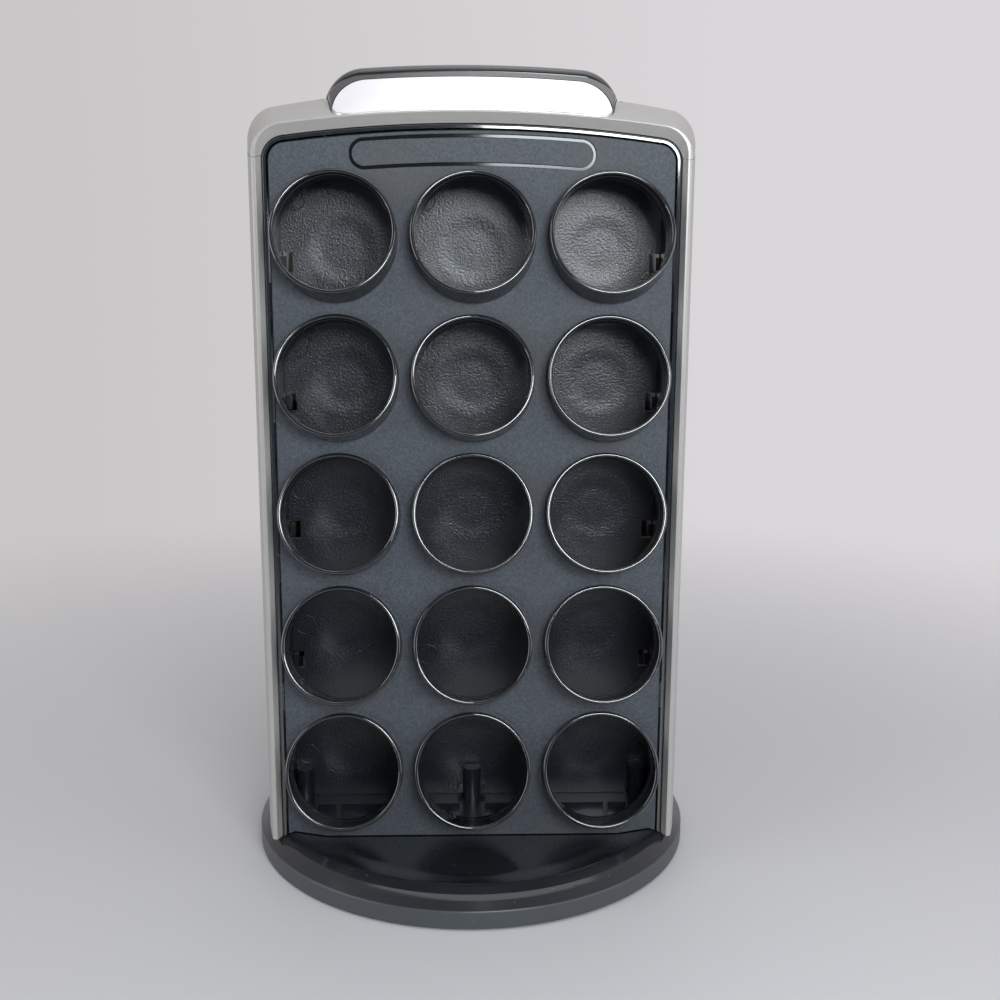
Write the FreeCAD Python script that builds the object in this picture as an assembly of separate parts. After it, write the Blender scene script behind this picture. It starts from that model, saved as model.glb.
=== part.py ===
"""Coffee pod carousel: a two-faced tower of tilted collars that turns on a round base.

Millimetres, +Z up. The origin is on the axis of the turntable, at the level of the rubber feet.
The front faces -Y. Everything that turns is symmetric about the plane Y = 0.
"""
import FreeCAD, Part
import math
import os

os.makedirs("parts", exist_ok=True)
Vector = FreeCAD.Vector
UP = Vector(0, 0, 1)
FAR = 500.0               # past every face, for the shapes that cut


# Clearances
part_gap = 0.3            # between covers that meet
panel_gap = 0.5           # round the panel, inside the band of the core frame
turn_gap = 0.5            # between the turning tower and the base
race_gap = 0.05           # between a ball and its track
bush_gap = 0.06           # between the spigot and its bush
thread_gap = 0.02         # between a screw and its hole
seat_gap = 0.2            # round a piece that is laid in a recess
parting_gap = 0.15        # between the cap and the side shells
tip_gap = 0.3             # past the tip of a screw in its blind hole
blank_overrun = 30.0      # how far the blanks of the cap and handle run below their seams

# Pods and their grid
pod_lid_radius = 25.5
pod_depth = 44.0
columns = 3
rows = 5
column_pitch = 57.2
row_pitch = 58.7
lowest_row = 48.4         # height of the centre of the lowest lips

# Collars
collar_tilt = 16.0        # degrees above the horizontal
collar_wall = 1.8
lip_overlap = 0.5         # what the pod's lid reaches past the crest of the lip
lip_stand_off = 9.9       # lip centre in front of the panel face
collar_tail = 5.6         # how far a collar reaches behind the panel face
collar_fillet = 0.6

# Panels
panel_face = 41.0         # panel face from the middle plane
panel_wall = 2.2
panel_half_width = 83.9
panel_top = 323.8
panel_roof_radius = 569.0
panel_corner = 7.5
panel_edge = 0.8          # rounding of the outer edge of the face
tower_bottom = 13.4
floor_wall = 1.8
groove_width = 1.2
groove_depth = 1.1
groove_edge = 0.35        # rounding of both edges of the groove
groove_half_width = 50.7
groove_top = 321.9
groove_bottom = 309.4

# Core frame
frame_wall = 1.7
rim_stand = 0.5           # how far the rim of the frame stands out in front of the panel and covers
rim_edge = 0.9            # rounding of its outer edge
partition_wall = 3.4
dish_radius = 17.0
dish_depth = 1.2
dish_rise = 4.0           # centre of a dish above the axis of a pod
rib_height_on_partition = 305.0
post_radius = 4.2
post_top = 31.0
post_inset = 21.4         # from the rim of the base to the outer posts
post_row = 5.2
post_boss = 2.2           # what a gusset reaches past its post
gusset_height = 4.0
ledge_height = 1.2
ledge_reach = 3.0
seat_block_height = 12.0
seat_block_depth = 5.0
seat_block_width = 4.2
tongue_wall = 1.8
tongue_height = 9.0
floor_rib_row = 24.0      # front of a floor rib from the middle plane
floor_rib_top = 20.7
floor_rib_spans = ((5.9, 61.5), (63.8, 72.1))

# Silver covers
cover_wall = 2.0
cover_half_width = 96.2
cover_front_half_width = 88.7
cover_stand = 3.5         # how far the covers stand out in front of the panel
cover_corner = 1.8
front_land = 0.6          # flat front of the covers, before they slope in to the core frame
ridge_top = 331.1
ridge_roof_radius = 574.0
ridge_corner = 12.0
crown_top = 343.3
crown_roof_radius = 478.0
crown_corner = 12.0
parting_front = 312.0
parting_middle = 316.8
cap_step = 0.15           # the cap stands in from the side shells by this
cap_wall = 2.4
crown_reach = 15.0        # how far the round of the crown reaches before the slope runs straight
ridge_round = 0.5
pocket_depth = 1.0        # the handle is let into the cap by this
shell_lip = 3.0           # the edge of a side shell that lies along the core frame
web_wall = 2.0
hook_heights = (84.0, 147.2, 206.8, 269.3)
hook_width = 5.0
hook_rise = 2.6           # tip of a hook above the middle of its window
top_web_drop = 6.0        # from the parting line to the highest web
window_height = 8.5
window_width = 5.0

# Handle
spine_half_depth = 10.0
spine_half_width = 61.9
spine_top = 350.1
spine_crown = 3.5
spine_swell = 2.3
spine_roof_radius = 640.0
spine_corner = 17.0
spine_wall = 2.4
bezel_front_half_width = 56.8
bezel_corner = 11.0       # front corners in plan
bezel_wall = 2.2
front_strip = 0.8         # what shows of the cap between its ridge and the handle
plate_half_width = 57.4
plate_drop = 2.8          # top edge of the plate below the top edge of the bezel
plate_bend = 13.0         # upper corners, seen from the front
plate_corner = 7.0        # front corners in plan
plate_edge = 0.3
bezel_edge = 0.5
handle_roof_radius = 600.0
plate_wall = 1.5

# Base
base_radius = 101.2
rim_height = 8.4
rim_round = 0.9
shoulder_inset = 4.6      # from the rim to the shoulder
shoulder_height = 12.7
shoulder_round = 8.0
crest_inset = 10.7
crest_height = 15.3
crest_round = 3.0
dish_inset = 23.2         # from the rim to the edge of the flat middle
dish_round = 20.0
base_middle = 12.9
base_wall = 2.4
foot_rise = 1.0
rib_count = 12
rib_wall = 1.6
underplate_wall = 2.0
foot_radius = 8.0
foot_count = 6
foot_inset = 17.2
underplate_recess = 0.4   # the underplate lies in from the foot of the rim by this
underplate_screw_inset = 12.0
underplate_bite = 5.0     # what its screws reach into the base
foot_recess = 0.8

# Bearing and spigot
well_radius = 34.0
race_inner = 20.5
race_outer = 31.5
race_wall = 1.0
race_groove = 0.5
ball_radius = 1.75
ball_count = 16
spigot_radius = 14.0
spigot_bore = 11.0
bush_wall = 1.4
bush_collar_reach = 1.2
bush_collar_wall = 0.8
hub_rise = 1.8            # top of the hub above the floor of the well
cage_reach = 3.2          # from the circle of the balls to either edge of the cage
cage_wall = 1.0
spigot_room = 0.4         # between the spigot and the underplate
spigot_tip = 0.6          # below the groove of the snap ring
hub_wall = 2.4
washer_wall = 0.8
washer_reach = 5.0
ring_wall = 0.8
ring_reach = 3.0
ring_groove = 1.0
ring_mouth = 8.0

# Screws
screw_radius = 1.4
head_radius = 2.7
head_height = 1.7
head_round = 0.68
drive_reach = 1.62        # half the length of the cross in a screw head
drive_slot = 0.32         # half its width
screw_reach = 8.0
boss_wall = 2.2
cup_roof = 2.0            # over the head of a floor screw
head_room = 0.6           # under the head of a floor screw
cap_screw_x = 62.0
cap_screw_y = 22.0
spine_screw_pitch = 42.0
bezel_screw_x = 34.0
bezel_screw_y = 16.0
dome_room = 0.4           # between a screw head and the dome that it lies under
screw_bite = 3.4          # what a screw of the handle reaches past the wall of the cap

# Sizes that follow
collar_outer = pod_lid_radius - lip_overlap + collar_wall / 2
collar_bore = collar_outer - collar_wall
column_places = [(k - (columns - 1) / 2) * column_pitch for k in range(columns)]
row_places = [lowest_row + k * row_pitch for k in range(rows)]
band_half_width = panel_half_width + panel_gap
frame_half_width = band_half_width + frame_wall
opening_half_width = frame_half_width + part_gap
cover_face = panel_face + cover_stand
floor_top = tower_bottom + floor_wall
post_column = base_radius - post_inset
panel_back = panel_face - panel_wall
screw_boss = screw_radius + boss_wall
floor_screw_seat = tower_bottom + head_height + head_room
cup_top = floor_screw_seat + cup_roof
spine_screw_reach = cap_wall + dome_room + screw_bite
bezel_screw_reach = cap_wall + 2 * dome_room + screw_bite
cap_screw_places = [(side * cap_screw_x, end * cap_screw_y) for side in (-1, 1) for end in (-1, 1)]
spine_screw_places = [(k * spine_screw_pitch, 0.0) for k in (-1, 0, 1)]
bezel_screw_places = [(side * bezel_screw_x, end * bezel_screw_y) for side in (-1, 1) for end in (-1, 1)]
floor_screw_places = [(x, end * post_row) for x in (-post_column, 0.0, post_column) for end in (-1, 1)]


def cylinder(radius, low, high, x=0.0, y=0.0):
    return Part.makeCylinder(radius, high - low, Vector(x, y, low))


def ring(inner, outer, low, high, x=0.0, y=0.0):
    return cylinder(outer, low, high, x, y).cut(cylinder(inner, low, high, x, y))


def block(x, y, z):
    """A box from three (low, high) pairs."""
    size = [high - low for low, high in (x, y, z)]
    return Part.makeBox(*size, Vector(x[0], y[0], z[0]))


def fuse(shapes):
    """All the shapes as one solid, with the seams between them removed."""
    return shapes[0].multiFuse(shapes[1:]).removeSplitter()


def mirror_x(shape):
    return shape.mirror(Vector(0, 0, 0), Vector(1, 0, 0))


def mirror_y(shape):
    return shape.mirror(Vector(0, 0, 0), Vector(0, 1, 0))


def revolve(points):
    """Turn a closed outline of (radius, height) points about the axis of the turntable."""
    outline = Part.makePolygon([Vector(r, 0, z) for r, z in points + points[:1]])
    return Part.Face(outline).revolve(Vector(0, 0, 0), UP, 360)


def save(name, shape):
    shape.exportStep("parts/" + name + ".step")
    print(name, len(shape.Solids), "solids", round(shape.Volume / 1000, 2), "cm3", shape.isValid())


def arch_wire(y, half_width, top, roof_radius, corner, bottom):
    """An outline in the plane Y = y: flat foot, upright sides, rounded corners and an arched roof."""
    roof_centre = top - roof_radius
    corner_x = half_width - corner
    corner_z = roof_centre + math.sqrt((roof_radius - corner) ** 2 - corner_x ** 2)
    lean = math.atan2(corner_x, corner_z - roof_centre)
    touch = (roof_radius * math.sin(lean), roof_centre + roof_radius * math.cos(lean))
    middle = (math.pi / 2 + lean) / 2
    bend = (corner_x + corner * math.sin(middle), corner_z + corner * math.cos(middle))
    right = [(half_width, bottom), (half_width, corner_z), bend, touch]
    points = [Vector(x, y, z) for x, z in right]
    mirrored = [Vector(-p.x, p.y, p.z) for p in points]
    edges = [
        Part.LineSegment(mirrored[0], points[0]).toShape(),
        Part.LineSegment(points[0], points[1]).toShape(),
        Part.Arc(points[1], points[2], points[3]).toShape(),
        Part.Arc(points[3], Vector(0, y, top), mirrored[3]).toShape(),
        Part.Arc(mirrored[3], mirrored[2], mirrored[1]).toShape(),
        Part.LineSegment(mirrored[1], mirrored[0]).toShape(),
    ]
    return Part.Wire(edges)


def arch_prism(low_y, high_y, *outline):
    face = Part.Face(arch_wire(low_y, *outline))
    return face.extrude(Vector(0, high_y - low_y, 0))


def panel_outline(grow):
    """The outline of the panel, grown outwards, from below the tower up to the arched top."""
    return panel_half_width + grow, panel_top + grow, panel_roof_radius + grow, panel_corner + grow, 0.0


def base_outline(rise):
    """The top of the base from its middle out past the rim, raised by a gap."""
    return [(0, base_middle + rise), (base_radius - dish_inset, base_middle + rise),
            (base_radius - crest_inset, crest_height + rise),
            (base_radius - shoulder_inset, shoulder_height + rise), (base_radius + rise, rim_height + rise)]


def base_sweep(rise):
    """All that lies below the top of the base, raised by a gap, for cutting the pieces above it."""
    outline = base_outline(rise)
    return revolve(outline + [(FAR, outline[-1][1]), (FAR, -FAR), (0, -FAR)])


def clear_of_base(shape):
    """The shape with its underside cut flat and clear of the crest of the base."""
    flat = block((-FAR, FAR), (-FAR, FAR), (-FAR, tower_bottom))
    return shape.cut(flat).cut(base_sweep(turn_gap))


def screw(x, y, seat, reach=screw_reach):
    """A pan-head screw with its head under the seat and its shank upwards."""
    shank = cylinder(screw_radius - thread_gap, seat, seat + reach, x, y)
    head = cylinder(head_radius, seat - head_height, seat, x, y)
    rim = [edge for edge in head.Edges if abs(edge.CenterOfMass.z - seat + head_height) < 1e-6
           and len(edge.Vertexes) == 1]
    head = head.makeFillet(head_round, rim)
    deep = (seat - head_height, seat - head_height / 2)
    cross = block((x - drive_reach, x + drive_reach), (y - drive_slot, y + drive_slot), deep)
    cross = cross.fuse(block((x - drive_slot, x + drive_slot), (y - drive_reach, y + drive_reach), deep))
    return fuse([shank, head]).cut(cross)


# Base and bearing

underplate_low = foot_rise + underplate_recess
underplate_high = underplate_low + underplate_wall
spigot_low = underplate_high + spigot_room
ring_low = spigot_low + spigot_tip
washer_low = ring_low + ring_wall
hub_low = washer_low + washer_wall + race_gap * 2
upper_race_low = tower_bottom - race_wall
ball_height = upper_race_low + race_groove - race_gap - ball_radius
lower_race_high = ball_height - ball_radius - race_gap + race_groove
well_floor = lower_race_high - race_wall
ball_track = (race_inner + race_outer) / 2
bush_bore = spigot_radius + bush_gap
hub_bore = bush_bore + bush_wall
hub_top = well_floor + hub_rise
underplate_radius = base_radius - base_wall - seat_gap
foot_ring = base_radius - foot_inset
underplate_screw_ring = foot_ring - foot_radius - underplate_screw_inset
underplate_screw_count = foot_count
underplate_screw_reach = underplate_wall + underplate_bite


def around(count, radius, start=0.0):
    """Places evenly spaced on a circle."""
    turn = 2 * math.pi / count
    return [(radius * math.cos(start + k * turn), radius * math.sin(start + k * turn)) for k in range(count)]


def base_disc():
    """The moulded base: a thin shell with a crest, a well for the bearing and a hub, stiffened by ribs."""
    top = base_outline(0.0)
    outer = revolve(top + [(base_radius, foot_rise), (0, foot_rise)])
    roundings = [crest_round, dish_round, rim_round, shoulder_round]
    corners = [top[2], top[1], top[4], top[3]]
    for (radius, height), size in zip(corners, roundings):
        edge = [e for e in outer.Edges if e.Closed and abs(e.BoundBox.ZMax - height) < 1e-3
                and abs(e.BoundBox.XMax - radius) < 1e-3]
        outer = outer.makeFillet(size, edge)
    inner_radius = base_radius - base_wall
    under = [(r, z - base_wall) for r, z in top]
    under[3] = (under[3][0] - base_wall, under[3][1])
    under[4] = (inner_radius, under[4][1])
    hollow = revolve(under + [(inner_radius, 0), (0, 0)])
    well = cylinder(well_radius, well_floor, base_middle + 5)
    shell = outer.cut(hollow)
    pot = cylinder(well_radius + base_wall, well_floor - hub_wall, base_middle - base_wall)
    bearing_seat = fuse([shell, pot]).cut(well)
    hub = ring(hub_bore, hub_bore + hub_wall, hub_low, hub_top)
    room = cylinder(hub_bore, 0, base_middle + 5)
    web = block((well_radius, inner_radius + base_wall / 2), (-rib_wall / 2, rib_wall / 2),
                (underplate_high + part_gap, crest_height))
    within = outer.translated(Vector(0, 0, -base_wall / 2))
    ribs = []
    for k in range(rib_count):
        rib = web.copy()
        rib.rotate(Vector(0, 0, 0), UP, 360 * (k + 0.5) / rib_count)
        ribs.append(rib.common(within))
    places = around(underplate_screw_count, underplate_screw_ring)
    bosses = [cylinder(screw_boss, underplate_high, base_middle - base_wall / 2, x, y) for x, y in places]
    pilot_top = underplate_low + underplate_screw_reach + tip_gap
    pilots = [cylinder(screw_radius, 0, pilot_top, x, y) for x, y in places]
    body = bearing_seat.multiFuse([hub] + ribs + bosses)
    return body.cut(room.multiFuse(pilots))


def base_underplate():
    plate = cylinder(underplate_radius, underplate_low, underplate_high)
    holes = [cylinder(screw_radius + seat_gap, underplate_low - 1, underplate_high + 1, x, y)
             for x, y in around(underplate_screw_count, underplate_screw_ring)]
    recesses = [cylinder(foot_radius + seat_gap, underplate_low - 1, underplate_low + foot_recess, x, y)
                for x, y in around(foot_count, foot_ring, math.pi / 6)]
    return plate.cut(holes[0].multiFuse(holes[1:] + recesses))


def underplate_screws():
    return Part.makeCompound([screw(x, y, underplate_low, underplate_screw_reach)
                              for x, y in around(underplate_screw_count, underplate_screw_ring)])


def foot_pads():
    pads = []
    for x, y in around(foot_count, foot_ring, math.pi / 6):
        pads.append(cylinder(foot_radius, 0, underplate_low + foot_recess, x, y))
    return Part.makeCompound(pads)


def track(height):
    """The groove that the balls run in."""
    return Part.makeTorus(ball_track, ball_radius + race_gap, Vector(0, 0, height), UP)


def lower_race():
    return ring(race_inner, race_outer, well_floor, lower_race_high).cut(track(ball_height))


def upper_race():
    return ring(race_inner, race_outer, upper_race_low, tower_bottom).cut(track(ball_height))


def bearing_balls():
    return Part.makeCompound([Part.makeSphere(ball_radius, Vector(x, y, ball_height))
                              for x, y in around(ball_count, ball_track)])


def ball_cage():
    half = cage_wall / 2
    cage = ring(ball_track - cage_reach, ball_track + cage_reach, ball_height - half, ball_height + half)
    pockets = [cylinder(ball_radius + seat_gap / 2, 0, base_middle + 5, x, y)
               for x, y in around(ball_count, ball_track)]
    return cage.cut(pockets[0].multiFuse(pockets[1:]))


def hub_bush():
    """A sleeve with a small collar that rests on the hub."""
    sleeve = ring(bush_bore, hub_bore, hub_low, hub_top)
    collar = ring(bush_bore, hub_bore + bush_collar_reach, hub_top, hub_top + bush_collar_wall)
    return fuse([sleeve, collar])


def retaining_washer():
    return ring(spigot_radius + bush_gap, spigot_radius + washer_reach, washer_low, washer_low + washer_wall)


def retaining_ring():
    """A snap ring, open on one side, in the groove of the spigot."""
    inner = spigot_radius - ring_groove
    outer = spigot_radius + ring_reach
    full = ring(inner, outer, ring_low, ring_low + ring_wall)
    return full.cut(block((0, FAR), (-ring_mouth / 2, ring_mouth / 2), (-FAR, FAR)))


# Tower

def tower_floor():
    """The floor follows the base at an even wall, with a spigot, six screw cups and ribs on its top."""
    half_x = band_half_width - seat_gap
    half_y = panel_back - seat_gap
    plate = block((-half_x, half_x), (-half_y, half_y), (0, floor_top))
    lifted = block((-half_x, half_x), (-half_y, half_y), (0, FAR)).common(base_sweep(turn_gap + floor_wall))
    slab = clear_of_base(fuse([plate, lifted]))
    cups = [cylinder(post_radius, tower_bottom, cup_top, x, y) for x, y in floor_screw_places]
    slab = clear_of_base(slab.multiFuse(cups))
    spigot = ring(spigot_bore, spigot_radius, spigot_low, tower_bottom)
    rib_span = (floor_top - floor_wall / 2, floor_rib_top)
    rib_rows = [sorted((end * (floor_rib_row - rib_wall), end * floor_rib_row)) for end in (-1, 1)]
    ribs = [block(sorted((side * near, side * far)), row, rib_span)
            for near, far in floor_rib_spans for side in (-1, 1) for row in rib_rows]
    slab = slab.multiFuse([spigot] + ribs).removeSplitter()
    heads = [cylinder(head_radius + seat_gap, 0, floor_screw_seat, x, y) for x, y in floor_screw_places]
    shanks = [cylinder(screw_radius + seat_gap, 0, cup_top + 1, x, y) for x, y in floor_screw_places]
    groove = ring(spigot_radius - ring_groove - thread_gap, FAR, ring_low, ring_low + ring_wall)
    return slab.cut(heads[0].multiFuse(heads[1:] + shanks + [groove]))


def floor_screws():
    return Part.makeCompound([screw(x, y, floor_screw_seat) for x, y in floor_screw_places])


def row_joins():
    """Heights between the rows, in the middle of what the tilted collars leave free."""
    lean = math.radians(collar_tilt)
    lip_high = collar_outer * math.cos(lean)
    tail_low = collar_outer / math.cos(lean) + (lip_stand_off + collar_tail) * math.tan(lean)
    return [z + (lip_high + row_pitch - tail_low) / 2 for z in row_places[:-1]]


def seat_heights():
    """Heights just above the joins of the rows, where the panels are held."""
    return [z + tongue_height / 2 + panel_gap for z in row_joins()]


def core_frame():
    """Partition, side walls and arched top wall in one moulding, with six blind posts at the foot."""
    front = panel_face + rim_stand
    outer = arch_prism(-front, front, *panel_outline(panel_gap + frame_wall))
    rim = [edge for edge in outer.Edges if edge.BoundBox.YLength < 1e-3 and edge.BoundBox.ZMax > tower_bottom]
    outer = outer.makeFillet(rim_edge, rim)
    inner = arch_prism(-FAR, FAR, *panel_outline(panel_gap))
    half = partition_wall / 2
    partition = arch_prism(-half, half, *panel_outline(panel_gap + frame_wall / 2))
    partition = partition.cut(block((-FAR, FAR), (-half, half), (-FAR, floor_top + seat_gap)))
    partition = partition.cut(base_sweep(turn_gap + floor_wall + seat_gap))
    cup_rooms = [cylinder(post_radius + seat_gap, 0, cup_top, x, y) for x, y in floor_screw_places]
    partition = partition.cut(Part.makeCompound(cup_rooms))
    ledge = block((-band_half_width, band_half_width), (-half - ledge_reach, half + ledge_reach),
                  (rib_height_on_partition - ledge_height, rib_height_on_partition))
    posts = [cylinder(post_radius, cup_top, post_top, x, y) for x, y in floor_screw_places]
    web_reach = post_radius + post_boss
    gusset_span = (cup_top, cup_top + gusset_height)
    gussets = [block((x - web_reach, x + web_reach), (min(0, y), max(0, y)), gusset_span)
               for x, y in floor_screw_places if x == 0]
    gussets += [block(sorted((x, side * band_half_width)), (min(0, y), max(0, y)), gusset_span)
                for x, y in floor_screw_places for side in (-1, 1) if x * side > 0]
    blocks = []
    for height in seat_heights():
        for side in (-1, 1):
            for end in (-1, 1):
                x = sorted((side * (band_half_width - seat_block_width), side * band_half_width))
                y = sorted((end * panel_back, end * (panel_back - seat_block_depth)))
                blocks.append(block(x, y, (height - seat_block_height / 2, height + seat_block_height / 2)))
    body = outer.cut(inner).multiFuse([partition, ledge] + posts + gussets + blocks)
    cuts = [cylinder(screw_radius, cup_top - 1, cup_top + screw_reach, x, y) for x, y in floor_screw_places]
    cuts += [cylinder(screw_radius + seat_gap, rib_height_on_partition, crown_top, x, y)
             for x, y in cap_screw_places]
    for height in hook_heights:
        for side in (-1, 1):
            x = sorted((side * (band_half_width - window_width), side * (frame_half_width + 1)))
            cuts.append(block(x, (-hook_width / 2 - seat_gap, hook_width / 2 + seat_gap),
                              (height - window_height / 2, height + window_height / 2)))
    dish = pod_dish()
    pod_drop = pod_depth * math.sin(math.radians(collar_tilt))
    for x in column_places:
        for z in row_places:
            near = dish.translated(Vector(x, -half, z - pod_drop + dish_rise))
            cuts += [near, mirror_y(near)]
    return clear_of_base(body.cut(Part.makeCompound(cuts)))


def pod_dish():
    """The lens-shaped hollow that a pod's foot points at, on the front of the partition."""
    ball = (dish_radius ** 2 + dish_depth ** 2) / (2 * dish_depth)
    rod = Part.makeCylinder(dish_radius + 1, dish_depth + 1, Vector(0, -1, 0), Vector(0, 1, 0))
    return rod.common(Part.makeSphere(ball, Vector(0, dish_depth - ball, 0)))


def collar(x, z):
    """One collar with a full round on its lip, tilted up and outwards from the front of the panel."""
    crest = (collar_outer + collar_bore) / 2
    half = collar_wall / 2
    back = -lip_stand_off - collar_tail - collar_outer
    corners = [Vector(collar_bore, 0, back), Vector(collar_outer, 0, back), Vector(collar_outer, 0, -half),
               Vector(collar_bore, 0, -half)]
    edges = [
        Part.LineSegment(corners[3], corners[0]).toShape(),
        Part.LineSegment(corners[0], corners[1]).toShape(),
        Part.LineSegment(corners[1], corners[2]).toShape(),
        Part.Arc(corners[2], Vector(crest, 0, 0), corners[3]).toShape(),
    ]
    tube = Part.Face(Part.Wire(edges)).revolve(Vector(0, 0, 0), UP, 360)
    tube.rotate(Vector(0, 0, 0), Vector(1, 0, 0), 90 - collar_tilt)
    tube.translate(Vector(x, -panel_face - lip_stand_off, z))
    return tube


def bore(x, z):
    """What a collar leaves open, right through the panel."""
    length = lip_stand_off + collar_tail + 2 * collar_outer
    hole = Part.makeCylinder(collar_bore, length, Vector(0, 0, -length + collar_outer))
    hole.rotate(Vector(0, 0, 0), Vector(1, 0, 0), 90 - collar_tilt)
    hole.translate(Vector(x, -panel_face - lip_stand_off, z))
    return hole


def groove():
    """A pill-shaped groove above the top row."""
    height = groove_top - groove_bottom
    roof = panel_roof_radius - (panel_top - groove_top)
    end = height / 2

    def pill(shrink):
        radius = end - shrink
        inner_x = groove_half_width - end
        drop = inner_x ** 2 / (2 * roof)
        middle = (groove_top + groove_bottom) / 2
        top = [(-inner_x, middle + radius - drop), (0, middle + radius), (inner_x, middle + radius - drop)]
        low = [(inner_x, middle - radius - drop), (0, middle - radius), (-inner_x, middle - radius - drop)]
        right = (groove_half_width - shrink, middle - drop)
        left = (-groove_half_width + shrink, middle - drop)
        y = -panel_face - 1
        points = [[Vector(a, y, b) for a, b in part] for part in (top, low)]
        edges = [
            Part.Arc(*points[0]).toShape(),
            Part.Arc(points[0][2], Vector(right[0], y, right[1]), points[1][0]).toShape(),
            Part.Arc(*points[1]).toShape(),
            Part.Arc(points[1][2], Vector(left[0], y, left[1]), points[0][0]).toShape(),
        ]
        return Part.Face(Part.Wire(edges)).extrude(Vector(0, 1 + groove_depth, 0))

    return pill(0).cut(pill(groove_width))


def tongue(side, height):
    """A snap tongue on the back of the panel, which grips a seat block of the core frame."""
    inner = band_half_width - seat_block_width - seat_gap
    arm_end = panel_back - seat_block_depth - tongue_wall - seat_gap * 2
    arm_x = sorted((side * (inner - tongue_wall), side * inner))
    barb_x = sorted((side * (inner - tongue_wall), side * (inner + tongue_wall * 0.8)))
    span = (height - tongue_height / 2, height + tongue_height / 2)
    arm = block(arm_x, (-panel_back - panel_wall / 4, -arm_end), span)
    barb = block(barb_x, (-arm_end - tongue_wall, -arm_end), span)
    return arm.fuse(barb)


def cells(panel):
    """The panel cut between its collars into one solid for each, so that each one's hole stays open.

    It is one moulding. The solids meet face to face, without a gap, where nothing but the flat plate runs.
    """
    column_joins = [(a + b) / 2 for a, b in zip(column_places, column_places[1:])]
    across = [-FAR] + column_joins + [FAR]
    upwards = [-FAR] + row_joins() + [FAR]
    pieces = []
    for left, right in zip(across, across[1:]):
        column = panel.common(block((left, right), (-FAR, FAR), (-FAR, FAR)))
        for low, high in zip(upwards, upwards[1:]):
            pieces += column.common(block((left, right), (-FAR, FAR), (low, high))).Solids
    return Part.makeCompound(pieces)


def front_panel():
    """The panel plate, 15 collars and the snap tongues in one moulding."""
    plate = arch_prism(-panel_face, -panel_back, *panel_outline(0.0))
    outline = [edge for edge in plate.Edges if edge.BoundBox.YLength < 1e-3
               and abs(edge.BoundBox.YMin + panel_face) < 1e-3 and edge.BoundBox.ZMax > tower_bottom]
    plate = plate.makeFillet(panel_edge, outline)
    places = [(x, z) for x in column_places for z in row_places]
    tail = block((-FAR, FAR), (-panel_face + collar_tail, FAR), (-FAR, FAR))
    tubes = [collar(x, z).cut(tail) for x, z in places]
    body = plate.multiFuse(tubes)
    holes = Part.makeCompound([bore(x, z) for x, z in places])
    body = body.cut(holes)
    feet = [edge for edge in body.Edges if edge.Curve.TypeId == "Part::GeomEllipse"
            and edge.BoundBox.YLength < 1e-3 and abs(edge.BoundBox.YMin + panel_face) < 1e-3]
    body = body.makeFillet(collar_fillet, feet)
    body = body.cut(groove())
    pill = [edge for edge in body.Edges if edge.BoundBox.YLength < 1e-3
            and abs(edge.BoundBox.YMin + panel_face) < 1e-3 and groove_bottom - 5 < edge.BoundBox.ZMin
            and edge.BoundBox.ZMax < groove_top + 1e-3 and abs(edge.CenterOfMass.x) < groove_half_width]
    body = body.makeFillet(groove_edge, pill)
    tongues = [tongue(side, height) for side in (-1, 1) for height in seat_heights()]
    body = body.multiFuse(tongues).removeSplitter()
    return cells(clear_of_base(body))


# Silver covers

def side_arc():
    """Radius and centre of the big arc of the plan, which meets the corner arcs without a kink."""
    corner_y = cover_face - cover_corner
    offset = cover_front_half_width - cover_half_width
    radius = (offset ** 2 + corner_y ** 2 - cover_corner ** 2) / (-2 * (offset + cover_corner))
    return radius, cover_half_width - radius


def plan_prism(inset, low, high):
    """The plan of the silver covers, drawn in by an inset, between two heights."""
    radius, centre = side_arc()
    corner_y = cover_face - cover_corner
    lean = math.atan2(corner_y, cover_front_half_width - centre)
    small = cover_corner - inset
    big = radius - inset
    start = Vector(cover_front_half_width, -cover_face + inset, low)
    middle_turn = (math.pi / 2 + lean) / 2
    bend = Vector(cover_front_half_width + small * math.cos(middle_turn),
                  -corner_y - small * math.sin(middle_turn), low)
    touch = Vector(centre + big * math.cos(lean), -big * math.sin(lean), low)
    side = Vector(centre + big, 0, low)

    def far(p):
        return Vector(p.x, -p.y, p.z)

    def left(p):
        return Vector(-p.x, p.y, p.z)

    right_edges = [Part.Arc(start, bend, touch).toShape(), Part.Arc(touch, side, far(touch)).toShape(),
                   Part.Arc(far(touch), far(bend), far(start)).toShape()]
    left_edges = [Part.Arc(left(start), left(bend), left(touch)).toShape(),
                  Part.Arc(left(touch), left(side), left(far(touch))).toShape(),
                  Part.Arc(left(far(touch)), left(far(bend)), left(far(start))).toShape()]
    front = Part.LineSegment(left(start), start).toShape()
    back = Part.LineSegment(far(start), left(far(start))).toShape()
    outline = Part.Wire(Part.__sortEdges__(right_edges + left_edges + [front, back]))
    return Part.Face(outline).extrude(Vector(0, 0, high - low))


def roof_shape(y):
    """Top, roof radius and corner radius of the dome at a depth: round at the crown, then straight."""
    run = math.sqrt(1 + (y / crown_reach) ** 2) - 1
    fade = run / (math.sqrt(1 + (cover_face / crown_reach) ** 2) - 1)
    top = crown_top - (crown_top - ridge_top) * fade
    roof = crown_roof_radius + (ridge_roof_radius - crown_roof_radius) * fade
    corner = crown_corner + (ridge_corner - crown_corner) * fade
    return top, roof, corner


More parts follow.
